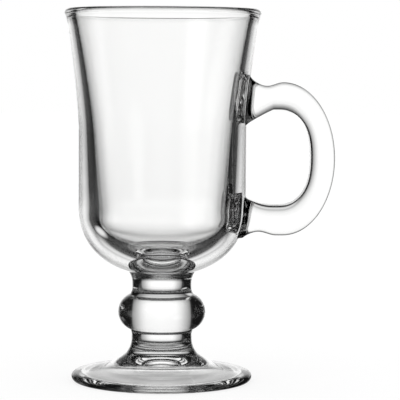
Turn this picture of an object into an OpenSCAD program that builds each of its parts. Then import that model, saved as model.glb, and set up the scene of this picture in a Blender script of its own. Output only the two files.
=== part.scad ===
// Footed glass mug for Irish coffee: a flared, thick-walled bowl on a short stem with a
// ball knop, a low conical foot and a D-shaped finger handle. Every piece is glass, welded
// hot to its neighbour, and touches it face to face at its seat.
// The origin is the centre of the ring that the foot stands on, with the handle towards +X.

/* [Bowl] */
// Outside diameter at the rim
rim_d = 76.6; // [75:0.2:79]
// Outside diameter of the straight part of the bowl
body_d = 65.6; // [64:0.2:67]
// Height of the bowl above its weld to the neck
bowl_h = 102.6; // [98:0.2:108]
// Height of the flared part, measured down from the rim
flare_h = 47; // [42:0.5:52]
// How far the rim's last turn stands out beyond the flare
lip_flare = 0.5; // [0.2:0.1:0.8]
// Height of the rim's last turn
lip_flare_h = 5; // [4:0.5:7]
// Height of the rounded belly, measured up from the weld
belly_h = 26.6; // [25:0.2:29]
// Wall at the rim
rim_wall = 4.2; // [4:0.1:4.8]
// Wall where the flare begins
body_wall = 5.6; // [5:0.1:6.2]
// Wall where the cavity begins to close
belly_wall = 8.1; // [7.4:0.1:9]
// Glass under the cavity, above the weld
base_t = 7.5; // [6.5:0.1:9]
// Height of the cavity's rounded bottom
cavity_round_h = 15.1; // [14:0.1:17]
// Rounding of the fire-polished lip
lip_round = 1.9; // [1.4:0.1:1.9]

/* [Stem] */
// Diameter of the upper neck at its waist
upper_waist_d = 23.2; // [22:0.1:24]
// Diameter of the weld between the upper neck and the bowl
bowl_seat_d = 26.4; // [25.4:0.1:28]
// Height of the upper neck
upper_neck_h = 9.1; // [8.2:0.1:11]
// Diameter of the ball knop
knop_d = 34.3; // [33:0.1:36]
// Height of the ball knop between its two welds
knop_h = 13.6; // [13.2:0.1:14.2]
// Radius of the ball's rounding, seen from the side
knop_round = 7.3; // [7.2:0.05:7.6]
// Diameter of the lower neck at its waist
lower_waist_d = 23.6; // [22.4:0.1:24.4]
// Height of the lower neck
lower_neck_h = 9.9; // [9:0.1:11]

/* [Foot] */
// Outside diameter of the foot
foot_d = 70.8; // [67:0.2:74]
// Diameter of the weld between the foot and the lower neck
foot_seat_d = 28.4; // [27.4:0.1:30]
// Height of the foot's weld above the table
foot_h = 10.4; // [10:0.1:12]
// Thickness of the foot's rounded edge
foot_edge_t = 3.4; // [3:0.1:3.8]
// Slope of the foot's upper side, in degrees
foot_slope = 12; // [11:0.1:13]
// Width of the ring that the foot stands on
stand_ring_w = 2.6; // [2:0.1:3.2]
// Depth of the hollow under the foot
hollow_h = 8; // [6.6:0.1:8.6]

/* [Handle] */
// Reach of the handle from the axis of the bowl
handle_reach = 67.2; // [65:0.2:70]
// Height of the handle's loop, outside
loop_h = 59.7; // [58:0.1:62]
// Height of the loop's underside above the table
loop_low_z = 57.6; // [56.6:0.1:58.6]
// Width of the loop's round end, from its centre to the outside
loop_w = 20.3; // [19:0.1:21]
// Width of the finger space's round end, from its centre to the grip
finger_w = 12.8; // [11.6:0.1:13.4]
// Height of the finger space
finger_h = 37.2; // [36:0.1:39]
// Width of the grip, seen from the side
grip_w = 9.3; // [8.6:0.1:10]
// Thickness of the lower limb
lower_limb_t = 11.7; // [11:0.1:12.6]
// Depth of the handle from its front face to its back face
handle_depth = 13; // [11.6:0.2:14.4]
// Rounding of the handle's outer edges: how deep it goes, and how far over the face
outer_edge_round = 1.7; // [1.2:0.1:2.2]
outer_edge_w = 2.4; // [1.8:0.1:2.6]
// Rounding of the handle's inner edges, in the same way
inner_edge_round = 2.8; // [2.2:0.1:3.4]
inner_edge_w = 5.2; // [4:0.1:5.4]
// Spread of each root over the bowl, on each side
root_spread = 2.4; // [2:0.1:3.2]
// Length of a root's spread, measured out from the bowl
root_l = 4.6; // [4:0.1:5.4]

/* [Hidden] */
$fn = 96;

// Radii and heights that the sizes above give
rim_r = rim_d / 2;
body_r = body_d / 2;
bowl_seat_r = bowl_seat_d / 2;
foot_seat_r = foot_seat_d / 2;
knop_r = knop_d / 2;
knop_core_r = knop_r - knop_round;
knop_seat_r = knop_core_r + sqrt(pow(knop_round, 2) - pow(knop_h / 2, 2));
lower_neck_z = foot_h;
knop_z = lower_neck_z + lower_neck_h;
upper_neck_z = knop_z + knop_h;
bowl_z = upper_neck_z + upper_neck_h;
rim_z = bowl_z + bowl_h;
flare_z = rim_z - flare_h;
belly_z = bowl_z + belly_h;
cavity_z = bowl_z + base_t;
cavity_round_z = cavity_z + cavity_round_h;

// Fullness of the belly and of the cavity's bottom: 2 is an ellipse, more is squarer
belly_power = 2.3;
cavity_power = 2.05;
flare_power = 1.5;
lip_flare_power = 2;
curve_steps = 24;
lip_steps = 8;

// A number held between zero and one
function unit(share) = max(0, min(1, share));

// A soft step from zero to one
function soft_step(share) = pow(unit(share), 2) * (3 - 2 * unit(share));

// A quarter of a full ellipse, from angle a0 to a1, as [radius, drop] below its centre
function full_curve(half_w, half_h, power, a0, a1) = [
    for (i = [0 : curve_steps])
        let (a = a0 + (a1 - a0) * i / curve_steps)
        [half_w * pow(max(0, cos(a)), 2 / power), half_h * pow(max(0, sin(a)), 2 / power)]
];

// The belly's half height is the one at which its curve lands on the edge of the weld
seat_share = pow(bowl_seat_r / body_r, belly_power);
belly_curve_h = belly_h / pow(1 - seat_share, 1 / belly_power);
seat_angle = acos(sqrt(seat_share));

// Outer wall: straight up to the flare, then opening out to the rim
lip_z = rim_z - lip_round;
function flare(z) = pow(unit((z - flare_z) / (lip_z - flare_z)), flare_power);
function outer_r(z) =
    body_r + (rim_r - lip_flare - body_r) * flare(z)
    + lip_flare * pow(unit((z - lip_z + lip_flare_h) / lip_flare_h), lip_flare_power);

// Inner wall: the plunger's taper all the way up, and the flare on top of it
inner_low_r = body_r - belly_wall;
inner_mid_r = body_r - body_wall;
inner_taper = (inner_mid_r - inner_low_r) / (flare_z - cavity_round_z);
inner_top_r = rim_r - rim_wall;
inner_flare = inner_top_r - inner_mid_r - inner_taper * (lip_z - flare_z);
function inner_r(z) =
    inner_mid_r + inner_taper * (z - flare_z) + inner_flare * flare(z);

// Outside of the bowl from the weld up to the foot of the lip's rounding
belly_points = [
    for (p = full_curve(body_r, belly_curve_h, belly_power, seat_angle, 0))
        [p[0], belly_z - p[1]]
];
outer_flare_points = [
    for (i = [0 : curve_steps])
        let (z = flare_z + (lip_z - flare_z) * i / curve_steps)
        [outer_r(z), z]
];

// The lip: a rounding on each side, and the narrow crown between them
lip_points = [
    for (i = [1 : lip_steps])
        let (a = 90 * i / lip_steps)
        [outer_r(lip_z) - lip_round * (1 - cos(a)), lip_z + lip_round * sin(a)]
];
lip_inner_points = [
    for (i = [0 : lip_steps])
        let (a = 90 - 90 * i / lip_steps)
        [inner_r(lip_z) + lip_round * (1 - cos(a)), lip_z + lip_round * sin(a)]
];

// Inside of the bowl from the lip down to the middle of the cavity's floor
inner_flare_points = [
    for (i = [1 : curve_steps])
        let (z = lip_z + (flare_z - lip_z) * i / curve_steps)
        [inner_r(z), z]
];
cavity_points = [
    for (p = full_curve(inner_low_r, cavity_round_h, cavity_power, 0, 90))
        [p[0], cavity_round_z - p[1]]
];

// Solid that fills the bowl's outside, which the handle's roots are cut to
module bowl_outside() {
    rotate_extrude()
        polygon(concat(
            [[0, bowl_z]],
            belly_points,
            outer_flare_points,
            [[0, lip_z]]
        ));
}

module bowl() {
    color("aliceblue", 0.35)
        rotate_extrude()
            polygon(concat(
                [[0, bowl_z]],
                belly_points,
                outer_flare_points,
                lip_points,
                lip_inner_points,
                inner_flare_points,
                cavity_points
            ));
}

// A waisted neck between two welds. Its waist stands at waist_share of the height, and
// each end spreads out to its weld: a higher power gives a shorter, tighter spread.
module neck(h, low_r, waist_r, top_r, waist_share, low_power, top_power) {
    waist_z = h * waist_share;
    low_points = [
        for (i = [0 : curve_steps - 1])
            let (share = 1 - i / curve_steps)
            [waist_r + (low_r - waist_r) * pow(share, low_power), waist_z * (1 - share)]
    ];
    top_points = [
        for (i = [0 : curve_steps])
            let (share = i / curve_steps)
            [waist_r + (top_r - waist_r) * pow(share, top_power), waist_z + (h - waist_z) * share]
    ];
    rotate_extrude()
        polygon(concat([[0, 0]], low_points, top_points, [[0, h]]));
}

// Where the waists stand, and how tightly each end spreads
upper_waist_share = 0.42;
lower_waist_share = 0.7;
knop_spread_power = 3;
wide_spread_power = 2.5;

module upper_neck() {
    color("aliceblue", 0.35)
        translate([0, 0, upper_neck_z])
            neck(upper_neck_h, knop_seat_r, upper_waist_d / 2, bowl_seat_r,
                upper_waist_share, knop_spread_power, wide_spread_power);
}

module lower_neck() {
    color("aliceblue", 0.35)
        translate([0, 0, lower_neck_z])
            neck(lower_neck_h, foot_seat_r, lower_waist_d / 2, knop_seat_r,
                lower_waist_share, wide_spread_power, knop_spread_power);
}

// The knop is a rounded ring about a solid core, cut flat at its two welds
module ball_knop() {
    color("aliceblue", 0.35)
        translate([0, 0, knop_z])
            intersection() {
                translate([0, 0, knop_h / 2])
                    union() {
                        rotate_extrude()
                            translate([knop_core_r, 0])
                                circle(r = knop_round);
                        cylinder(r = knop_core_r, h = knop_h, center = true);
                    }
                cylinder(r = knop_d, h = knop_h);
            }
}

// Foot: a concave spread under the weld runs out into a cone, down to the rounded edge
foot_edge_r = foot_edge_t / 2;
foot_r = foot_d / 2;
cone_end_r = foot_r - foot_edge_r + foot_edge_r * sin(foot_slope);
cone_end_z = foot_edge_r + foot_edge_r * cos(foot_slope);
cone_seat_z = cone_end_z + (cone_end_r - foot_seat_r) * tan(foot_slope);
spread_share = 0.58;
spread_power = 2;
spread_end_r = foot_seat_r + (cone_end_r - foot_seat_r) * spread_share;
foot_top_points = [
    for (i = [0 : curve_steps])
        let (share = i / curve_steps)
        let (r = foot_seat_r + (spread_end_r - foot_seat_r) * share)
        [r, cone_end_z + (cone_end_r - r) * tan(foot_slope)
            + (foot_h - cone_seat_z) * pow(1 - share, spread_power)]
];
foot_edge_points = [
    for (i = [0 : 2 * lip_steps])
        let (a = (90 - foot_slope) - (180 - foot_slope) * i / (2 * lip_steps))
        [foot_r - foot_edge_r + foot_edge_r * cos(a), foot_edge_r + foot_edge_r * sin(a)]
];
stand_ring_r = foot_r - foot_edge_r;
hollow_r = stand_ring_r - stand_ring_w;
hollow_power = 2.6;
hollow_points = [
    for (i = [0 : curve_steps])
        let (a = 90 * i / curve_steps)
        [hollow_r * cos(a), hollow_h * pow(sin(a), hollow_power)]
];

module foot() {
    color("aliceblue", 0.35)
        rotate_extrude()
            polygon(concat([[0, foot_h]], foot_top_points, foot_edge_points, hollow_points));
}

// Handle. Each station of the sweep has an outer point and an inner point in the plane
// of the handle, and a depth. Around the loop both follow a curve about the loop's centre;
// along the roots they follow the limbs' edges into the bowl, where the bowl trims them.
loop_mid_z = loop_low_z + loop_h / 2;
loop_x = handle_reach - loop_w;
finger_x = handle_reach - grip_w - finger_w;
finger_mid_z = loop_low_z + lower_limb_t + finger_h / 2;
finger_power = 2.4;
loop_steps = 32;
root_steps = 14;
edge_steps = 5;

// The edge of a limb, from the loop to the bowl: from from_x on it steps in, by dip at
// neck_x, then grows by spread towards the bowl's wall at wall_x. side is 1 up and -1 down.
function limb_z(x, from_x, from_z, side, dip, neck_x, spread, wall_x, power) =
    from_z
    - side * dip * soft_step((from_x - x) / (from_x - neck_x))
    + side * spread * pow(unit((neck_x - x) / (neck_x - wall_x)), power);

// Depth of the limb on each side of the middle plane, with the spread at the root
function half_depth(x, wall_x) =
    handle_depth / 2 + root_spread * pow(unit((wall_x + root_l - x) / root_l), 2);

// Sizes of the four limb edges: how far each limb narrows behind the loop, how far from
// the loop's centre its narrowest place stands, how far the lower limb runs level first,
// how far from the finger space's centre its wedge begins, and the spread of each edge up
// or down the bowl
limb_dip = 1.4;
upper_dip_l = 6.2;
lower_dip_l = 9.2;
lower_flat_l = 2.5;
wedge_l = 2;
upper_neck_x = loop_x - upper_dip_l;
lower_neck_x = loop_x - lower_dip_l;
lower_dip_x = loop_x - lower_flat_l;
wedge_x = finger_x - wedge_l;
upper_root_up = 3.2;
upper_root_down = 5.5;
lower_root_up = 2.8;
lower_root_down = 2.4;
wedge_power = 1.15;
fillet_power = 2;
// Under the belly's shoulder the wall falls away from the lower root by belly_fall
belly_fall = 1.5;
upper_wall_x = outer_r(loop_low_z + loop_h);
lower_wall_x = body_r - belly_fall;
root_end_x = lower_wall_x - root_l;

function root_x(from_x, share) = from_x + (root_end_x - from_x) * share;

// The loop's outer and inner curves at an angle from -90 to 90 degrees
function loop_outer(a) = [
    loop_x + loop_w * cos(a),
    loop_mid_z + loop_h / 2 * sin(a)
];
function loop_inner(a) = [
    finger_x + finger_w * pow(abs(cos(a)), 2 / finger_power),
    finger_mid_z + sign(a) * finger_h / 2 * pow(abs(sin(a)), 2 / finger_power)
];

loop_top_z = loop_low_z + loop_h;
finger_top_z = finger_mid_z + finger_h / 2;
finger_low_z = finger_mid_z - finger_h / 2;

upper_root_stations = [
    for (i = [0 : root_steps - 1])
        let (share = 1 - i / root_steps)
        let (ox = root_x(loop_x, share), ix = root_x(finger_x, share))
        [
            [ox, limb_z(ox, loop_x, loop_top_z, 1, limb_dip, upper_neck_x,
                upper_root_up, upper_wall_x, fillet_power)],
            [ix, limb_z(ix, finger_x, finger_top_z, -1, 0, wedge_x,
                upper_root_down, body_r, wedge_power)],
            half_depth(ox, body_r)
        ]
];
loop_stations = [
    for (i = [0 : loop_steps])
        let (a = 90 - 180 * i / loop_steps)
        [loop_outer(a), loop_inner(a), handle_depth / 2]
];
lower_root_stations = [
    for (i = [1 : root_steps])
        let (share = i / root_steps)
        let (ox = root_x(loop_x, share), ix = root_x(finger_x, share))
        [
            [ox, limb_z(ox, lower_dip_x, loop_low_z, -1, limb_dip, lower_neck_x,
                lower_root_down, lower_wall_x, fillet_power)],
            [ix, limb_z(ix, finger_x, finger_low_z, 1, 0, wedge_x,
                lower_root_up, body_r, fillet_power)],
            half_depth(ox, body_r)
        ]
];
stations = concat(upper_root_stations, loop_stations, lower_root_stations);

// One rounded corner of the handle's section, a quarter of an ellipse, as [across, depth]
function corner(mid_across, mid_depth, edge_w, edge_d, a0) = [
    for (i = [0 : edge_steps])
        let (a = a0 + 90 * i / edge_steps)
        [mid_across + edge_w * cos(a), mid_depth + edge_d * sin(a)]
];

// The section of a station of width w and half depth d
function section(w, d) =
    let (out = w / 2 - outer_edge_w, in = w / 2 - inner_edge_w)
    let (out_d = d - outer_edge_round, in_d = d - inner_edge_round)
    concat(
        corner(out, out_d, outer_edge_w, outer_edge_round, 0),
        corner(-in, in_d, inner_edge_w, inner_edge_round, 90),
        corner(-in, -in_d, inner_edge_w, inner_edge_round, 180),
        corner(out, -out_d, outer_edge_w, outer_edge_round, 270)
    );

// The section placed at its station
function ring(s) =
    let (across = s[0] - s[1], w = norm(across), dir = across / w, mid = (s[0] + s[1]) / 2)
    [for (p = section(w, s[2])) [mid[0] + dir[0] * p[0], p[1], mid[1] + dir[1] * p[0]]];

module swept_handle() {
    ring_n = 4 * (edge_steps + 1);
    last = len(stations) - 1;
    points = [for (s = stations) each ring(s)];
    sides = [
        for (k = [0 : last - 1], j = [0 : ring_n - 1])
            let (a = k * ring_n + j, b = k * ring_n + (j + 1) % ring_n)
            each [[a, b, b + ring_n], [a, b + ring_n, a + ring_n]]
    ];
    start_cap = [[for (j = [ring_n - 1 : -1 : 0]) j]];
    end_cap = [[for (j = [0 : ring_n - 1]) last * ring_n + j]];
    polyhedron(points = points, faces = concat(sides, start_cap, end_cap));
}

module handle() {
    color("aliceblue", 0.35)
        difference() {
            swept_handle();
            bowl_outside();
        }
}

bowl();
upper_neck();
ball_knop();
lower_neck();
foot();
handle();
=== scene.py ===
"""Looks of a footed glass mug for Irish coffee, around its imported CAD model.

Each of the six glass pieces gets a fine mesh from the same named sizes as the CAD source.
Three forms are the scene's own: the cavity's floor lies 1 mm lower, the hollow under the foot
is 0.8 mm deeper and a little steeper, and a small fillet runs about each root of the handle.
Pieces that are welded hot share their weld faces point for point, and those faces are clear,
so light runs from piece to piece as in one body of glass. Sizes are in millimetres here.
"""

import math

import bpy
import numpy as np
from mathutils import Matrix, Vector
from mathutils.geometry import delaunay_2d_cdt


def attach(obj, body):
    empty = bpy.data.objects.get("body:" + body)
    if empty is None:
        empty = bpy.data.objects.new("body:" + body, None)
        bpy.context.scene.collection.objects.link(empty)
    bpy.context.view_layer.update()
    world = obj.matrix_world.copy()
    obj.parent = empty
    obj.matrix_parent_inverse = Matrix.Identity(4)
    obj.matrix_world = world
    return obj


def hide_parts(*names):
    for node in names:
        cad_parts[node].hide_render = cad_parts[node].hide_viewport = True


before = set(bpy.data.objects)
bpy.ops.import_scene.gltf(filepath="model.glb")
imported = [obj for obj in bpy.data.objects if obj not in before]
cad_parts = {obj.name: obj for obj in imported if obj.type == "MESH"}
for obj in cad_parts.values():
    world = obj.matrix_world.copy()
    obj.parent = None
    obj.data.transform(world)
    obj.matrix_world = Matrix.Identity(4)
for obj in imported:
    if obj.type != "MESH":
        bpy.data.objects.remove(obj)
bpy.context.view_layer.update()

MM = 0.001

# Sizes of the bowl in the CAD source
RIM_R, BODY_R, BOWL_SEAT_R = 38.3, 32.8, 13.2
BOWL_Z, BELLY_Z, FLARE_Z, RIM_Z = 43.0, 69.6, 98.6, 145.6
RIM_WALL, BODY_WALL, BELLY_WALL = 4.2, 5.6, 8.1
LIP_ROUND, LIP_FLARE, LIP_FLARE_H, LIP_FLARE_POWER = 1.9, 0.5, 5.0, 2.0
BELLY_POWER, CAVITY_POWER, FLARE_POWER = 2.3, 2.05, 1.5

# Sizes of the stem in the CAD source
UPPER_NECK_Z, UPPER_WAIST_R, UPPER_WAIST_SHARE = 33.9, 11.6, 0.42
KNOP_Z, KNOP_H, KNOP_R, KNOP_ROUND = 20.3, 13.6, 17.15, 7.3
LOWER_NECK_Z, LOWER_WAIST_R, LOWER_WAIST_SHARE = 10.4, 11.8, 0.7
KNOP_SPREAD_POWER, WIDE_SPREAD_POWER = 3.0, 2.5

# Sizes of the foot in the CAD source
FOOT_R, FOOT_SEAT_R, FOOT_H = 35.4, 14.2, 10.4
FOOT_EDGE_R, FOOT_SLOPE, STAND_RING_W = 1.7, math.radians(12), 2.6
SPREAD_SHARE, SPREAD_POWER = 0.58, 2.0

# Sizes of the handle in the CAD source
HANDLE_REACH, LOOP_H, LOOP_LOW_Z, LOOP_W = 67.2, 59.7, 57.6, 20.3
FINGER_W, FINGER_H, GRIP_W, LOWER_LIMB_T = 12.8, 37.2, 9.3, 11.7
HANDLE_HALF, FINGER_POWER = 6.5, 2.4
OUTER_EDGE, OUTER_EDGE_W, INNER_EDGE, INNER_EDGE_W = 1.7, 2.4, 2.8, 5.2
ROOT_SPREAD, ROOT_L, LIMB_DIP = 2.4, 4.6, 1.4
UPPER_DIP_L, LOWER_DIP_L, LOWER_FLAT_L, WEDGE_L = 6.2, 9.2, 2.5, 2.0
UPPER_ROOT_UP, UPPER_ROOT_DOWN = 3.2, 5.5
LOWER_ROOT_UP, LOWER_ROOT_DOWN = 2.8, 2.4
WEDGE_POWER, FILLET_POWER, BELLY_FALL = 1.15, 2.0, 1.5

# The scene's own sizes: the cavity's floor and rounded bottom (50.5 and 15.1 in the source),
# the hollow's depth and steepness (8.0 and 2.6 there), and the fillet about the roots
CAVITY_Z, CAVITY_ROUND_H = 49.5, 16.1
HOLLOW_H, HOLLOW_POWER = 8.8, 3.1
WELD_FILLET, WELD_FILLET_L = 0.8, 1.4

# How finely the forms are divided, about the axis and along each stretch of a profile
SEGMENTS = 256
BELLY_STEPS, WALL_STEPS, FLARE_STEPS, LIP_STEPS = 48, 16, 32, 10
TAPER_STEPS, CAVITY_STEPS, NECK_STEPS, KNOP_STEPS = 20, 56, 28, 48
SPREAD_STEPS, CONE_STEPS, EDGE_STEPS, RING_STEPS, HOLLOW_STEPS = 36, 16, 20, 3, 40
CORNER_STEPS, FACE_STEPS, LOOP_STEPS, ROOT_STEPS = 12, 6, 112, 44
# A root's stations draw together towards the bowl, whose wall is found in a few rounds
ROOT_STEP_POWER, WALL_ROUNDS = 1.5, 12
# Under this radius a ring is a point on the axis
AXIS_R = 1e-9


def unit(share):
    return max(0.0, min(1.0, share))


def soft_step(share):
    t = unit(share)
    return t * t * (3 - 2 * t)


# Profiles, as lines of (radius, height)

KNOP_CORE_R = KNOP_R - KNOP_ROUND
KNOP_SEAT_R = KNOP_CORE_R + math.sqrt(KNOP_ROUND ** 2 - (KNOP_H / 2) ** 2)
BELLY_SHARE = (BOWL_SEAT_R / BODY_R) ** BELLY_POWER
BELLY_CURVE_H = (BELLY_Z - BOWL_Z) / (1 - BELLY_SHARE) ** (1 / BELLY_POWER)
CAVITY_ROUND_Z = CAVITY_Z + CAVITY_ROUND_H
INNER_LOW_R, INNER_MID_R = BODY_R - BELLY_WALL, BODY_R - BODY_WALL
INNER_TOP_R = RIM_R - RIM_WALL
INNER_TAPER = (INNER_MID_R - INNER_LOW_R) / (FLARE_Z - CAVITY_ROUND_Z)
LIP_Z = RIM_Z - LIP_ROUND
INNER_FLARE = INNER_TOP_R - INNER_MID_R - INNER_TAPER * (LIP_Z - FLARE_Z)


def flare(z):
    return unit((z - FLARE_Z) / (LIP_Z - FLARE_Z)) ** FLARE_POWER


def outer_r(z):
    """Outside radius of the bowl at height z, from its weld to the foot of the lip."""
    if z < BELLY_Z:
        drop = min(1.0, (BELLY_Z - z) / BELLY_CURVE_H)
        return BODY_R * (1 - drop ** BELLY_POWER) ** (1 / BELLY_POWER)
    lip = LIP_FLARE * unit((z - LIP_Z + LIP_FLARE_H) / LIP_FLARE_H) ** LIP_FLARE_POWER
    return BODY_R + (RIM_R - LIP_FLARE - BODY_R) * flare(z) + lip


def inner_r(z):
    """Radius of the cavity at height z, above its rounded bottom."""
    return INNER_MID_R + INNER_TAPER * (z - FLARE_Z) + INNER_FLARE * flare(z)


def steps(start, end, n, first=True):
    """n + 1 even numbers from start to end, or n without the first."""
    return [start + (end - start) * i / n for i in range(0 if first else 1, n + 1)]


def arc(cx, cz, r, a0, a1, n, first=True):
    """Points on a circle about (cx, cz), from angle a0 to angle a1 in degrees."""
    angles = steps(math.radians(a0), math.radians(a1), n, first)
    return [(cx + r * math.cos(a), cz + r * math.sin(a)) for a in angles]


def bowl_outside():
    """Belly, straight wall and flare of the bowl, upwards from the edge of the weld."""
    seat = math.acos(math.sqrt(BELLY_SHARE))
    belly = []
    for a in steps(seat, 0.0, BELLY_STEPS):
        belly.append((BODY_R * math.cos(a) ** (2 / BELLY_POWER),
                      BELLY_Z - BELLY_CURVE_H * math.sin(a) ** (2 / BELLY_POWER)))
    wall = [(BODY_R, z) for z in steps(BELLY_Z, FLARE_Z, WALL_STEPS, False)]
    top = [(outer_r(z), z) for z in steps(FLARE_Z, LIP_Z, FLARE_STEPS, False)]
    return belly + wall + top


def bowl_inside():
    """Lip, inner wall and round bottom of the cavity, down to the middle of its floor."""
    r_out, r_in = outer_r(LIP_Z), inner_r(LIP_Z)
    lip = arc(r_out - LIP_ROUND, LIP_Z, LIP_ROUND, 0, 90, LIP_STEPS, False)
    lip += arc(r_in + LIP_ROUND, LIP_Z, LIP_ROUND, 90, 180, LIP_STEPS)
    wall = [(inner_r(z), z) for z in steps(LIP_Z, FLARE_Z, FLARE_STEPS, False)]
    wall += [(inner_r(z), z) for z in steps(FLARE_Z, CAVITY_ROUND_Z, TAPER_STEPS, False)]
    bottom = []
    for a in steps(0.0, math.pi / 2, CAVITY_STEPS, False):
        bottom.append((INNER_LOW_R * max(0.0, math.cos(a)) ** (2 / CAVITY_POWER),
                       CAVITY_ROUND_Z - CAVITY_ROUND_H * math.sin(a) ** (2 / CAVITY_POWER)))
    return lip + wall + bottom


def neck_profile(z0, h, low_r, waist_r, top_r, waist_share, low_power, top_power):
    """Side of a waisted neck of height h, upwards from z0, with a spread to each weld."""
    waist_z = h * waist_share
    low = [(waist_r + (low_r - waist_r) * s ** low_power, z0 + waist_z * (1 - s))
           for s in steps(1.0, 0.0, NECK_STEPS)]
    top = [(waist_r + (top_r - waist_r) * s ** top_power, z0 + waist_z + (h - waist_z) * s)
           for s in steps(0.0, 1.0, NECK_STEPS, False)]
    return low + top


def foot_profile():
    """Upper side, rounded edge with the standing ring, and hollow. Together the three lines
    run from the edge of the weld outwards, and back under the foot to the axis."""
    edge_r = FOOT_R - FOOT_EDGE_R
    cone_end_r = edge_r + FOOT_EDGE_R * math.sin(FOOT_SLOPE)
    cone_end_z = FOOT_EDGE_R + FOOT_EDGE_R * math.cos(FOOT_SLOPE)
    rise = math.tan(FOOT_SLOPE)
    seat_z = cone_end_z + (cone_end_r - FOOT_SEAT_R) * rise
    spread_end_r = FOOT_SEAT_R + (cone_end_r - FOOT_SEAT_R) * SPREAD_SHARE
    top = []
    for share in steps(0.0, 1.0, SPREAD_STEPS):
        r = FOOT_SEAT_R + (spread_end_r - FOOT_SEAT_R) * share
        spread = (FOOT_H - seat_z) * (1 - share) ** SPREAD_POWER
        top.append((r, cone_end_z + (cone_end_r - r) * rise + spread))
    for r in steps(spread_end_r, cone_end_r, CONE_STEPS, False):
        top.append((r, cone_end_z + (cone_end_r - r) * rise))
    cone_a = 90 - math.degrees(FOOT_SLOPE)
    edge = arc(edge_r, FOOT_EDGE_R, FOOT_EDGE_R, cone_a, -90, EDGE_STEPS, False)
    hollow_r = edge_r - STAND_RING_W
    ring = [(r, 0.0) for r in steps(edge_r, hollow_r, RING_STEPS, False)]
    hollow = [(hollow_r * max(0.0, math.cos(a)), HOLLOW_H * math.sin(a) ** HOLLOW_POWER)
              for a in steps(0.0, math.pi / 2, HOLLOW_STEPS, False)]
    return top, edge + ring, hollow


# Materials

GLASS_COLOR = (0.991, 0.992, 0.989, 1)
GLASS_IOR = 1.52
# The glass is very slightly wavy: waves per metre, octaves, share of the bump, depth in metres
WAVE_SCALE, WAVE_DETAIL, WAVE_STRENGTH, WAVE_DEPTH = 70.0, 1.5, 0.03, 0.0001


def new_material(name):
    made = bpy.data.materials.new(name)
    made.use_nodes = True
    made.node_tree.nodes.clear()
    return made, made.node_tree.nodes, made.node_tree.links


def glass_material():
    made, nodes, links = new_material("clear_pressed_glass")
    out = nodes.new("ShaderNodeOutputMaterial")
    shader = nodes.new("ShaderNodeBsdfPrincipled")
    shader.inputs["Base Color"].default_value = GLASS_COLOR
    shader.inputs["Roughness"].default_value = 0.0
    shader.inputs["IOR"].default_value = GLASS_IOR
    shader.inputs["Transmission Weight"].default_value = 1.0
    where = nodes.new("ShaderNodeTexCoord")
    wave = nodes.new("ShaderNodeTexNoise")
    wave.inputs["Scale"].default_value = WAVE_SCALE
    wave.inputs["Detail"].default_value = WAVE_DETAIL
    bump = nodes.new("ShaderNodeBump")
    bump.inputs["Strength"].default_value = WAVE_STRENGTH
    bump.inputs["Distance"].default_value = WAVE_DEPTH
    links.new(where.outputs["Object"], wave.inputs["Vector"])
    links.new(wave.outputs["Fac"], bump.inputs["Height"])
    links.new(bump.outputs["Normal"], shader.inputs["Normal"])
    links.new(shader.outputs["BSDF"], out.inputs["Surface"])
    return made


def weld_material():
    made, nodes, links = new_material("hot_weld_face")
    out = nodes.new("ShaderNodeOutputMaterial")
    shader = nodes.new("ShaderNodeBsdfTransparent")
    links.new(shader.outputs["BSDF"], out.inputs["Surface"])
    return made


glass = glass_material()
weld = weld_material()
# Places of the two materials in each mesh
GLASS_FACE, WELD_FACE = 0, 1


# Meshes

def side_normals(line):
    """Normal at each point of a smooth profile line, to the right of its direction."""
    p = np.array(line, float)
    t = np.empty_like(p)
    d = np.diff(p, axis=0)
    length = np.linalg.norm(d, axis=1)[:, None]
    d = d / length
    t[0], t[-1] = d[0], d[-1]
    # Each middle point takes its two neighbours' directions, the nearer one more
    t[1:-1] = (d[:-1] * length[1:] + d[1:] * length[:-1]) / (length[1:] + length[:-1])
    # The line bends as much at its ends as next to them
    if len(p) > 3:
        t[0] = 2 * d[0] - t[1]
        t[-1] = 2 * d[-1] - t[-2]
    t /= np.linalg.norm(t, axis=1)[:, None]
    return np.stack([t[:, 1], -t[:, 0]], axis=1)


class Shell:
    """Gathers vertices, faces, their materials and their corner normals."""

    def __init__(self):
        self.points, self.faces, self.materials, self.normals = [], [], [], []

    def add(self, points):
        """Adds vertices and returns their numbers."""
        start = len(self.points)
        self.points.extend(tuple(p) for p in points)
        return range(start, len(self.points))

    def face(self, ids, normals, material=GLASS_FACE):
        self.faces.append(tuple(ids))
        self.normals.extend(tuple(n) for n in normals)
        self.materials.append(material)

    def mesh(self, name):
        made = bpy.data.meshes.new(name)
        metres = [(x * MM, y * MM, z * MM) for x, y, z in self.points]
        made.from_pydata(metres, [], self.faces, shade_flat=False)
        made.materials.append(glass)
        made.materials.append(weld)
        made.polygons.foreach_set("material_index", self.materials)
        made.update()
        made.normals_split_custom_set(self.normals)
        return made


def turn(k):
    a = 2 * math.pi * k / SEGMENTS
    return math.cos(a), math.sin(a)


# Directions of the segments about the axis
TURNS = [turn(k) for k in range(SEGMENTS)]


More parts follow.
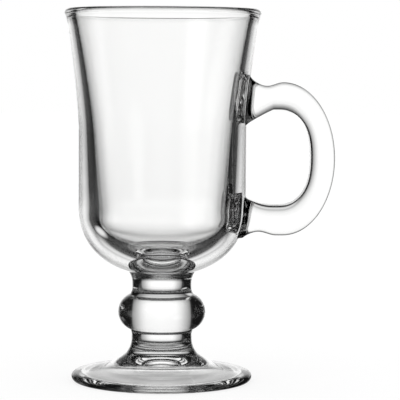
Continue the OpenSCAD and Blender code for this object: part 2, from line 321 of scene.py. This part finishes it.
def lathe_line(shell, line, first=None, skip=None):
    """Turns one smooth profile line about the axis and returns its rings of vertices. The
    glass lies to the left of the line's direction. first is the ring that it starts from,
    where there is one already, and skip(row, k) leaves a face out."""
    normals = side_normals(line)
    rings = []
    for i, (r, z) in enumerate(line):
        if i == 0 and first is not None:
            rings.append(first)
        elif r < AXIS_R:
            normals[i] = (0.0, math.copysign(1.0, normals[i][1]))
            rings.append(list(shell.add([(0.0, 0.0, z)])))
        else:
            rings.append(list(shell.add([(r * c, r * s, z) for c, s in TURNS])))
    for i in range(len(line) - 1):
        low, high = rings[i], rings[i + 1]
        (lr, lz), (hr, hz) = normals[i], normals[i + 1]
        for k in range(SEGMENTS):
            if skip and skip(i, k):
                continue
            m = (k + 1) % SEGMENTS
            (c0, s0), (c1, s1) = TURNS[k], TURNS[m]
            n = [(lr * c0, lr * s0, lz), (lr * c1, lr * s1, lz),
                 (hr * c1, hr * s1, hz), (hr * c0, hr * s0, hz)]
            if len(low) == 1:
                shell.face((low[0], high[m], high[k]), (n[0], n[2], n[3]))
            elif len(high) == 1:
                shell.face((low[k], low[m], high[0]), (n[0], n[1], n[2]))
            else:
                shell.face((low[k], low[m], high[m], high[k]), n)
    return rings


def disc(shell, ring, z, up):
    """Flat weld face inside a ring, as a fan about the axis."""
    normal = (0.0, 0.0, 1.0 if up else -1.0)
    middle = shell.add([(0.0, 0.0, z)])[0]
    for k in range(SEGMENTS):
        m = (k + 1) % SEGMENTS
        ids = (ring[k], ring[m], middle) if up else (ring[m], ring[k], middle)
        shell.face(ids, (normal,) * 3, WELD_FACE)


def place(name, shell, node):
    """Puts a piece into the scene, on the root body, in place of its CAD node."""
    piece = bpy.data.objects.new(name, shell.mesh(name))
    bpy.context.scene.collection.objects.link(piece)
    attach(piece, "root")
    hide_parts(node)


# Handle

LOOP_X = HANDLE_REACH - LOOP_W
FINGER_X = HANDLE_REACH - GRIP_W - FINGER_W
LOOP_TOP_Z = LOOP_LOW_Z + LOOP_H
LOOP_MID_Z = LOOP_LOW_Z + LOOP_H / 2
FINGER_MID_Z = LOOP_LOW_Z + LOWER_LIMB_T + FINGER_H / 2
FINGER_TOP_Z = FINGER_MID_Z + FINGER_H / 2
FINGER_LOW_Z = FINGER_MID_Z - FINGER_H / 2
UPPER_WALL_X = outer_r(LOOP_TOP_Z)
LOWER_WALL_X = BODY_R - BELLY_FALL
UPPER_NECK_X, LOWER_NECK_X = LOOP_X - UPPER_DIP_L, LOOP_X - LOWER_DIP_L
LOWER_DIP_X, WEDGE_X = LOOP_X - LOWER_FLAT_L, FINGER_X - WEDGE_L
# Points of a section: four corners, and a face after each
RING_N = 4 * (CORNER_STEPS + FACE_STEPS)


def limb_z(x, from_x, from_z, side, dip, neck_x, spread, wall_x, power):
    """Height of a limb's edge at x. From from_x towards the bowl it steps in, by dip at
    neck_x, and then grows by spread up to the wall at wall_x. side is 1 up and -1 down."""
    step_in = side * dip * soft_step((from_x - x) / (from_x - neck_x))
    growth = side * spread * unit((neck_x - x) / (neck_x - wall_x)) ** power
    return from_z - step_in + growth


def upper_limb(x):
    """Heights of the outer and the inner edge of the upper limb at x."""
    outer = limb_z(x, LOOP_X, LOOP_TOP_Z, 1, LIMB_DIP, UPPER_NECK_X,
                   UPPER_ROOT_UP, UPPER_WALL_X, FILLET_POWER)
    inner = limb_z(x, FINGER_X, FINGER_TOP_Z, -1, 0, WEDGE_X,
                   UPPER_ROOT_DOWN, BODY_R, WEDGE_POWER)
    return outer, inner


def lower_limb(x):
    """Heights of the outer and the inner edge of the lower limb at x."""
    outer = limb_z(x, LOWER_DIP_X, LOOP_LOW_Z, -1, LIMB_DIP, LOWER_NECK_X,
                   LOWER_ROOT_DOWN, LOWER_WALL_X, FILLET_POWER)
    inner = limb_z(x, FINGER_X, FINGER_LOW_Z, 1, 0, WEDGE_X,
                   LOWER_ROOT_UP, BODY_R, FILLET_POWER)
    return outer, inner


def section(w, d):
    """Points (across, depth) of a handle section of width w and half depth d, anticlockwise
    from the outer face, each with its outward direction. A corner is a quarter of an ellipse."""
    out, out_d = w / 2 - OUTER_EDGE_W, d - OUTER_EDGE
    inn, inn_d = w / 2 - INNER_EDGE_W, d - INNER_EDGE
    corners = [
        (out, out_d, OUTER_EDGE_W, OUTER_EDGE, 0),
        (-inn, inn_d, INNER_EDGE_W, INNER_EDGE, 90),
        (-inn, -inn_d, INNER_EDGE_W, INNER_EDGE, 180),
        (out, -out_d, OUTER_EDGE_W, OUTER_EDGE, 270),
    ]
    made = []
    for i, (mid_a, mid_d, edge_w, edge_d, a0) in enumerate(corners):
        for j in range(CORNER_STEPS + 1):
            a = math.radians(a0 + 90 * j / CORNER_STEPS)
            c, s = math.cos(a), math.sin(a)
            n = math.hypot(c / edge_w, s / edge_d)
            made.append((mid_a + edge_w * c, mid_d + edge_d * s, c / edge_w / n, s / edge_d / n))
        # The flat face up to the next corner
        next_a, next_d, next_w, next_edge_d, _ = corners[(i + 1) % len(corners)]
        a = math.radians(a0 + 90)
        c, s = math.cos(a), math.sin(a)
        start, end = made[-1], (next_a + next_w * c, next_d + next_edge_d * s)
        for j in range(1, FACE_STEPS):
            share = j / FACE_STEPS
            made.append((start[0] + (end[0] - start[0]) * share,
                         start[1] + (end[1] - start[1]) * share, c, s))
    return made


def loop_station(a):
    """The section's points at an angle about the loop, up from level."""
    c, s = math.cos(a), math.sin(a)
    power = 2 / FINGER_POWER
    outer = np.array((LOOP_X + LOOP_W * c, LOOP_MID_Z + LOOP_H / 2 * s))
    inner = np.array((FINGER_X + FINGER_W * abs(c) ** power,
                      FINGER_MID_Z + math.copysign(FINGER_H / 2 * abs(s) ** power, s)))
    across = outer - inner
    w = np.linalg.norm(across)
    across /= w
    middle = (outer + inner) / 2
    return [(middle[0] + across[0] * u, v, middle[1] + across[1] * u)
            for u, v, _, _ in section(w, HANDLE_HALF)]


def root_point(limb, side, j, x, x_wall):
    """Place (y, z) of ring point j of a limb at x, where its own wall is at x_wall."""
    z_out, z_in = limb(x)
    w = abs(z_out - z_in)
    near = unit(1 - (x - x_wall) / ROOT_L)
    u, v, nu, nv = section(w, HANDLE_HALF + ROOT_SPREAD * near ** 2)[j]
    t = unit(1 - (x - x_wall) / WELD_FILLET_L)
    swell = WELD_FILLET * (1 - math.sqrt(1 - t * t))
    return v + nv * swell, (z_out + z_in) / 2 + side * (u + nu * swell)


def root_paths(limb, side):
    """Each ring point's way from the loop to the bowl's wall, as rows of points."""
    w = abs(limb(LOOP_X)[0] - limb(FINGER_X)[1])
    rows = [[None] * RING_N for _ in range(ROOT_STEPS + 1)]
    for j, (u, _, _, _) in enumerate(section(w, HANDLE_HALF)):
        x0 = FINGER_X + (LOOP_X - FINGER_X) * (u / w + 0.5)
        x_wall = BODY_R
        for _ in range(WALL_ROUNDS):
            y, z = root_point(limb, side, j, x_wall, x_wall)
            x_wall = math.sqrt(outer_r(z) ** 2 - y * y)
        for i in range(ROOT_STEPS + 1):
            x = x0 + (x_wall - x0) * (1 - (1 - i / ROOT_STEPS) ** ROOT_STEP_POWER)
            y, z = root_point(limb, side, j, x, x_wall)
            rows[i][j] = (x, y, z)
    return rows


upper_rows = root_paths(upper_limb, 1)
lower_rows = root_paths(lower_limb, -1)
loop_rows = [loop_station(math.radians(90 - 180 * i / LOOP_STEPS)) for i in range(1, LOOP_STEPS)]

# Weld footprints of the roots on the bowl, unrolled as (arc length, height)
footprints = [[(BODY_R * math.atan2(y, x), z) for x, y, z in rows[-1]]
              for rows in (upper_rows, lower_rows)]


# Bowl

# The window is the part of the outside that is meshed anew about the footprints. It reaches
# WINDOW_K segments to each side of the handle's middle plane, and WINDOW_MARGIN above and
# below the footprints. Its grid stays GRID_GAP away from them
WINDOW_K, WINDOW_MARGIN, GRID_GAP = 18, 1.5, 0.45
SEGMENT_W = 2 * math.pi / SEGMENTS * BODY_R
# Half the height over which the bowl's slope is taken
SLOPE_STEP = 0.01
# The triangulation's output, triangles over the whole window, and its tolerance
CDT_TRIANGLES, CDT_EPSILON = 0, 1e-7

outside = bowl_outside()
low_z = min(z for loop in footprints for _, z in loop) - WINDOW_MARGIN
high_z = max(z for loop in footprints for _, z in loop) + WINDOW_MARGIN
ROW0 = max(i for i, (_, z) in enumerate(outside) if z <= low_z)
ROW1 = min(i for i, (_, z) in enumerate(outside) if z >= high_z)


def on_bowl(s, z):
    """Point of the bowl's outside at an unrolled place."""
    a, r = s / BODY_R, outer_r(z)
    return r * math.cos(a), r * math.sin(a), z


def bowl_normal(s, z):
    a = s / BODY_R
    slope = (outer_r(z + SLOPE_STEP) - outer_r(z - SLOPE_STEP)) / (2 * SLOPE_STEP)
    return tuple(Vector((math.cos(a), math.sin(a), -slope)).normalized())


def inside(p, loop):
    """Whether a point lies within a closed loop."""
    x, y = p
    found = False
    for (x0, y0), (x1, y1) in zip(loop, loop[1:] + loop[:1]):
        if (y0 > y) != (y1 > y) and x < x0 + (y - y0) / (y1 - y0) * (x1 - x0):
            found = not found
    return found


def far_from(p, loops, gap):
    return all((p[0] - q[0]) ** 2 + (p[1] - q[1]) ** 2 > gap * gap for loop in loops for q in loop)


def in_window(row, k):
    near = k if k < SEGMENTS / 2 else k - SEGMENTS
    return ROW0 <= row < ROW1 and -WINDOW_K <= near < WINDOW_K


def window_outline(rings):
    """Unrolled points of the window's grid and of the footprints, the vertex that each has
    already, if any, the edges that the mesh has to keep, and where each footprint starts."""
    flat, ids, edges, border, starts = [], [], [], {}, []
    for row in range(ROW0, ROW1 + 1):
        for k in range(-WINDOW_K, WINDOW_K + 1):
            p = (k * SEGMENT_W, outside[row][1])
            edge = row in (ROW0, ROW1) or abs(k) == WINDOW_K
            if edge:
                border[row, k] = len(flat)
            if edge or far_from(p, footprints, GRID_GAP):
                ids.append(rings[row][k % SEGMENTS] if edge else None)
                flat.append(p)
    for k in range(-WINDOW_K, WINDOW_K):
        edges += [(border[row, k], border[row, k + 1]) for row in (ROW0, ROW1)]
    for row in range(ROW0, ROW1):
        edges += [(border[row, k], border[row + 1, k]) for k in (-WINDOW_K, WINDOW_K)]
    for loop in footprints:
        first = len(flat)
        starts.append(first)
        flat += loop
        ids += [None] * len(loop)
        edges += [(first + j, first + (j + 1) % len(loop)) for j in range(len(loop))]
    return flat, ids, edges, starts


def build_bowl():
    """The bowl's mesh, and each weld's triangles. A triangle's corner there is its place in
    the footprint, if it is on the rim, its number in the window, and its unrolled place."""
    shell = Shell()
    rings = lathe_line(shell, outside, skip=in_window)
    disc(shell, rings[0], BOWL_Z, up=False)
    lathe_line(shell, [outside[-1]] + bowl_inside(), first=rings[-1])

    flat, ids, edges, starts = window_outline(rings)
    points, _, triangles, origin, _, _ = delaunay_2d_cdt(
        [Vector(p) for p in flat], edges, [], CDT_TRIANGLES, CDT_EPSILON, True)
    # From the triangulation's points back to the vertices and the places that went in
    places = [flat[o[0]] if o else tuple(p) for p, o in zip(points, origin)]
    vertices = []
    for at, from_ids in zip(places, origin):
        known = [ids[i] for i in from_ids if ids[i] is not None]
        vertices.append(known[0] if known else shell.add([on_bowl(*at)])[0])
    normals = [bowl_normal(*at) for at in places]

    welds = [[] for _ in footprints]
    for tri in triangles:
        a, b, c = (points[i] for i in tri)
        if (b - a).cross(c - a) < 0:
            tri = tri[::-1]
        centre = ((a + b + c) / 3)[:]
        which = next((n for n, loop in enumerate(footprints) if inside(centre, loop)), None)
        corners, sides = [vertices[i] for i in tri], [normals[i] for i in tri]
        if which is None:
            shell.face(corners, sides)
            continue
        shell.face(corners, sides, WELD_FACE)
        first, count = starts[which], len(footprints[which])
        named = []
        for i in tri:
            rim = [o - first for o in origin[i] if first <= o < first + count]
            named.append((rim[0] if rim else None, i, places[i]))
        welds[which].append(named)
    return shell, welds


def build_handle(welds):
    """The handle's mesh, from the upper root about the loop to the lower root. Its two weld
    faces are the bowl's triangles, turned over."""
    shell = Shell()
    grid = np.array(upper_rows[::-1] + loop_rows + lower_rows, float)
    weld_rows = (0, len(grid) - 1)
    for row, loop in zip(weld_rows, footprints):
        for j, (s, z) in enumerate(loop):
            grid[row, j] = on_bowl(s, z)
    # Corner normals from the differences along and across the sweep
    along = np.gradient(grid, axis=0)
    around = np.roll(grid, -1, axis=1) - np.roll(grid, 1, axis=1)
    normal = np.cross(along, around)
    normal /= np.linalg.norm(normal, axis=2)[:, :, None]
    ids = [list(shell.add(row)) for row in grid]
    for i in range(len(grid) - 1):
        for j in range(RING_N):
            m = (j + 1) % RING_N
            corners = [(i + 1, j), (i + 1, m), (i, m), (i, j)]
            shell.face([ids[a][b] for a, b in corners], [normal[a, b] for a, b in corners])
    for row, triangles in zip(weld_rows, welds):
        inner = {}
        for tri in triangles:
            corners, normals = [], []
            for rim, i, (s, z) in reversed(tri):
                if rim is None and i not in inner:
                    inner[i] = shell.add([on_bowl(s, z)])[0]
                corners.append(inner[i] if rim is None else ids[row][rim])
                normals.append(tuple(-c for c in bowl_normal(s, z)))
            shell.face(corners, normals, WELD_FACE)
    return shell


bowl_shell, weld_triangles = build_bowl()
place("glass_bowl", bowl_shell, "bowl")
place("glass_handle", build_handle(weld_triangles), "handle")


# Stem and foot

def turned_piece(name, node, line):
    """A piece between two flat welds, from its profile upwards."""
    shell = Shell()
    rings = lathe_line(shell, line)
    disc(shell, rings[0], line[0][1], up=False)
    disc(shell, rings[-1], line[-1][1], up=True)
    place(name, shell, node)


turned_piece("glass_upper_neck", "upper_neck", neck_profile(
    UPPER_NECK_Z, BOWL_Z - UPPER_NECK_Z, KNOP_SEAT_R, UPPER_WAIST_R, BOWL_SEAT_R,
    UPPER_WAIST_SHARE, KNOP_SPREAD_POWER, WIDE_SPREAD_POWER))
knop_a = math.degrees(math.asin(KNOP_H / 2 / KNOP_ROUND))
turned_piece("glass_ball_knop", "ball_knop", arc(
    KNOP_CORE_R, KNOP_Z + KNOP_H / 2, KNOP_ROUND, -knop_a, knop_a, KNOP_STEPS))
turned_piece("glass_lower_neck", "lower_neck", neck_profile(
    LOWER_NECK_Z, KNOP_Z - LOWER_NECK_Z, FOOT_SEAT_R, LOWER_WAIST_R, KNOP_SEAT_R,
    LOWER_WAIST_SHARE, WIDE_SPREAD_POWER, KNOP_SPREAD_POWER))


def build_foot():
    """From the middle of the hollow outwards, so that the glass lies to the left: the hollow,
    the flat standing ring, and the rounded edge with the upper side, up to the weld."""
    shell = Shell()
    top, edge, hollow = foot_profile()
    rings = lathe_line(shell, hollow[::-1] + [edge[-1]])
    rim = (top + edge)[::-1]
    rings = lathe_line(shell, rim[:RING_STEPS + 1], first=rings[-1])
    rings = lathe_line(shell, rim[RING_STEPS:], first=rings[-1])
    disc(shell, rings[-1], FOOT_H, up=True)
    place("glass_foot", shell, "foot")


build_foot()


# Set

scene = bpy.context.scene
scene.view_settings.view_transform = "Standard"
scene.cycles.max_bounces = 32
scene.cycles.transmission_bounces = 32
scene.cycles.glossy_bounces = 16
scene.cycles.transparent_max_bounces = 32

# The floor, in metres, a hair under the standing ring
FLOOR_HALF, FLOOR_DROP = 4.0, 0.00005
FLOOR_COLOR = (0.25, 0.25, 0.25, 1)
FLOOR_GLOW = 0.77
# What the glass sees of it: a painted shade of the mug about the foot, set by distance from the
# axis
PAINTED_SHADE = [(0, 0.5), (10, 0.6), (18, 1.0), (24, 0.9), (30, 0.45), (36, 0.5), (41, 0.12),
         (54, 0.12), (66, 0.8), (80, 1.0)]

# Brightness of the window behind the mug, against degrees to the side and above straight down
WINDOW_ACROSS = [(0, 1.0), (10, 0.98), (14, 0.95), (18, 0.83), (21, 0.7), (24, 0.56),
                 (27, 0.45), (31, 0.26), (33, 0.03), (36, 0.0), (180, 0.0)]
WINDOW_UP = [(0, 0.0), (56, 0.0), (60, 0.54), (64, 0.74), (68, 0.46), (72, 0.74), (76, 0.88),
             (84, 1.0), (92, 1.02), (98, 0.93), (102, 0.88), (106, 0.62), (110, 0.38),
             (120, 0.05), (128, 0.05), (138, 0.9), (150, 0.95), (165, 0.2), (180, 0.2)]
# Light from the table, against degrees above straight down
TABLE_GLOW = [(0, 0.5), (20, 0.22), (38, 0.5), (42, 0.14), (47, 0.008), (180, 0.008)]
# The other windows, by azimuth and elevation, with brightness against degrees off their middle
WIDE = [(0, 0.95), (9, 0.9), (13, 0.5), (17, 0.1), (20, 0.0), (180, 0.0)]
SMALL = [(0, 0.8), (5, 0.75), (8, 0.45), (12, 0.0), (180, 0.0)]
STRIP = [(0, 0.5), (5, 0.45), (12, 0.0), (180, 0.0)]
SIDE_WINDOWS = [(-92, -2, WIDE), (135, -15, WIDE), (-45, -25, SMALL), (90, -13, STRIP)]
WINDOW_LIGHT = 1.13
WHITE = (1, 1, 1, 1)


def fill_ramp(points, table):
    """Straight lines through the (value, brightness) pairs of the table."""
    top = table[-1][0]
    while len(points) > 1:
        points.remove(points[-1])
    points[0].position, points[0].color = table[0][0] / top, (table[0][1],) * 3 + (1,)
    for v, b in table[1:]:
        points.new(v / top).color = (b, b, b, 1)


def floor_material():
    """Pale and glowing for the camera and for diffuse light. For rays that come through the glass
    or off it, the floor is clear, apart from a painted shade of the mug, set by distance from the
    axis."""
    made, nodes, links = new_material("pale_floor")
    out = nodes.new("ShaderNodeOutputMaterial")
    diffuse = nodes.new("ShaderNodeBsdfDiffuse")
    diffuse.inputs["Color"].default_value = FLOOR_COLOR
    glow = nodes.new("ShaderNodeEmission")
    glow.inputs["Strength"].default_value = FLOOR_GLOW
    add = nodes.new("ShaderNodeAddShader")
    clear = nodes.new("ShaderNodeBsdfTransparent")
    where = nodes.new("ShaderNodeTexCoord")
    far = nodes.new("ShaderNodeVectorMath")
    far.operation = "LENGTH"
    far_share = nodes.new("ShaderNodeMath")
    far_share.operation = "DIVIDE"
    far_share.inputs[1].default_value = PAINTED_SHADE[-1][0] * MM
    # The ramp paints the mug's shade onto the clear floor, by distance from the axis
    painted_shade_ramp = nodes.new("ShaderNodeValToRGB")
    fill_ramp(painted_shade_ramp.color_ramp.elements, PAINTED_SHADE)
    links.new(where.outputs["Object"], far.inputs[0])
    links.new(far.outputs["Value"], far_share.inputs[0])
    links.new(far_share.outputs[0], painted_shade_ramp.inputs[0])
    links.new(painted_shade_ramp.outputs[0], clear.inputs["Color"])
    path = nodes.new("ShaderNodeLightPath")
    either = nodes.new("ShaderNodeMath")
    either.operation = "MAXIMUM"
    mix = nodes.new("ShaderNodeMixShader")
    links.new(diffuse.outputs[0], add.inputs[0])
    links.new(glow.outputs[0], add.inputs[1])
    links.new(path.outputs["Is Transmission Ray"], either.inputs[0])
    links.new(path.outputs["Is Glossy Ray"], either.inputs[1])
    links.new(either.outputs[0], mix.inputs[0])
    links.new(add.outputs[0], mix.inputs[1])
    links.new(clear.outputs[0], mix.inputs[2])
    links.new(mix.outputs[0], out.inputs["Surface"])
    return made


def build_floor():
    mesh = bpy.data.meshes.new("floor")
    half = FLOOR_HALF
    mesh.from_pydata([(-half, -half, 0), (half, -half, 0), (half, half, 0), (-half, half, 0)],
                     [], [(0, 1, 2, 3)])
    mesh.materials.append(floor_material())
    floor = bpy.data.objects.new("floor", mesh)
    floor.location.z = -FLOOR_DROP
    scene.collection.objects.link(floor)


def build_world():
    """White round about for the camera and for diffuse light. Glass sees a studio: white
    windows with soft edges, and dark flags between them."""
    world = bpy.data.worlds.new("studio")
    scene.world = world
    world.use_nodes = True
    nodes, links = world.node_tree.nodes, world.node_tree.links
    nodes.clear()

    def feed(socket, value):
        if isinstance(value, (int, float)):
            socket.default_value = value
        else:
            links.new(value, socket)

    def maths(operation, a, b=0.0):
        n = nodes.new("ShaderNodeMath")
        n.operation = operation
        feed(n.inputs[0], a)
        feed(n.inputs[1], b)
        return n.outputs[0]

    def curve(value, table):
        """Brightness from a table, at a value given in the table's own unit."""
        ramp = nodes.new("ShaderNodeValToRGB")
        feed(ramp.inputs[0], maths("DIVIDE", value, table[-1][0]))
        fill_ramp(ramp.color_ramp.elements, table)
        return ramp.outputs[0]

    where = nodes.new("ShaderNodeTexCoord")
    parts = nodes.new("ShaderNodeSeparateXYZ")
    links.new(where.outputs["Generated"], parts.inputs[0])
    x, y, z = parts.outputs
    to_degrees = 180 / math.pi

    def off_middle(azimuth, elevation):
        """Degrees off a direction, given from +Y towards +X and above level."""
        a, e = math.radians(azimuth), math.radians(elevation)
        dot = nodes.new("ShaderNodeVectorMath")
        dot.operation = "DOT_PRODUCT"
        links.new(where.outputs["Generated"], dot.inputs[0])
        dot.inputs[1].default_value = (math.sin(a) * math.cos(e), math.cos(a) * math.cos(e),
                                       math.sin(e))
        return maths("MULTIPLY", maths("ARCCOSINE", dot.outputs["Value"]), to_degrees)

    off_side = maths("ABSOLUTE", maths("MULTIPLY", maths("ARCTAN2", x, y), to_degrees))
    above = maths("ADD", maths("MULTIPLY", maths("ARCSINE", z), to_degrees), 90.0)
    seen = maths("MULTIPLY", curve(off_side, WINDOW_ACROSS), curve(above, WINDOW_UP))
    seen = maths("ADD", seen, curve(above, TABLE_GLOW))
    for azimuth, elevation, table in SIDE_WINDOWS:
        seen = maths("MAXIMUM", seen, curve(off_middle(azimuth, elevation), table))
    seen = maths("MULTIPLY", seen, WINDOW_LIGHT)

    path = nodes.new("ShaderNodeLightPath")
    either = maths("MAXIMUM", path.outputs["Is Transmission Ray"], path.outputs["Is Glossy Ray"])
    plain = nodes.new("ShaderNodeBackground")
    plain.inputs["Color"].default_value = WHITE
    plain.inputs["Strength"].default_value = 1.0
    studio = nodes.new("ShaderNodeBackground")
    studio.inputs["Color"].default_value = WHITE
    links.new(seen, studio.inputs["Strength"])
    mix = nodes.new("ShaderNodeMixShader")
    out = nodes.new("ShaderNodeOutputWorld")
    links.new(either, mix.inputs[0])
    links.new(plain.outputs[0], mix.inputs[1])
    links.new(studio.outputs[0], mix.inputs[2])
    links.new(mix.outputs[0], out.inputs["Surface"])


build_floor()
build_world()

# Camera: a long lens at the photograph's height, aimed at the middle of the picture. The
# picture is FIELD_W wide there, and turned by ROLL degrees
CAMERA_X, CAMERA_Z, CAMERA_D = 5.0, 124.6, 765.0
AIM_X, AIM_Z, FIELD_W, ROLL = 14.8, 71.0, 156.8, 0.33
SENSOR_W, CLIP_START = 36, 0.05
camera_data = bpy.data.cameras.new("camera")
camera = bpy.data.objects.new("camera", camera_data)
scene.collection.objects.link(camera)
camera.location = (CAMERA_X * MM, -CAMERA_D * MM, CAMERA_Z * MM)
aim = Vector((AIM_X * MM, 0, AIM_Z * MM)) - camera.location
look = aim.to_track_quat("-Z", "Y").to_matrix()
roll = Matrix.Rotation(math.radians(ROLL), 3, "Z")
camera.rotation_mode = "QUATERNION"
camera.rotation_quaternion = (look @ roll).to_quaternion()
camera_data.sensor_width = SENSOR_W
camera_data.lens = SENSOR_W * aim.length / (FIELD_W * MM)
camera_data.clip_start = CLIP_START
scene.camera = camera
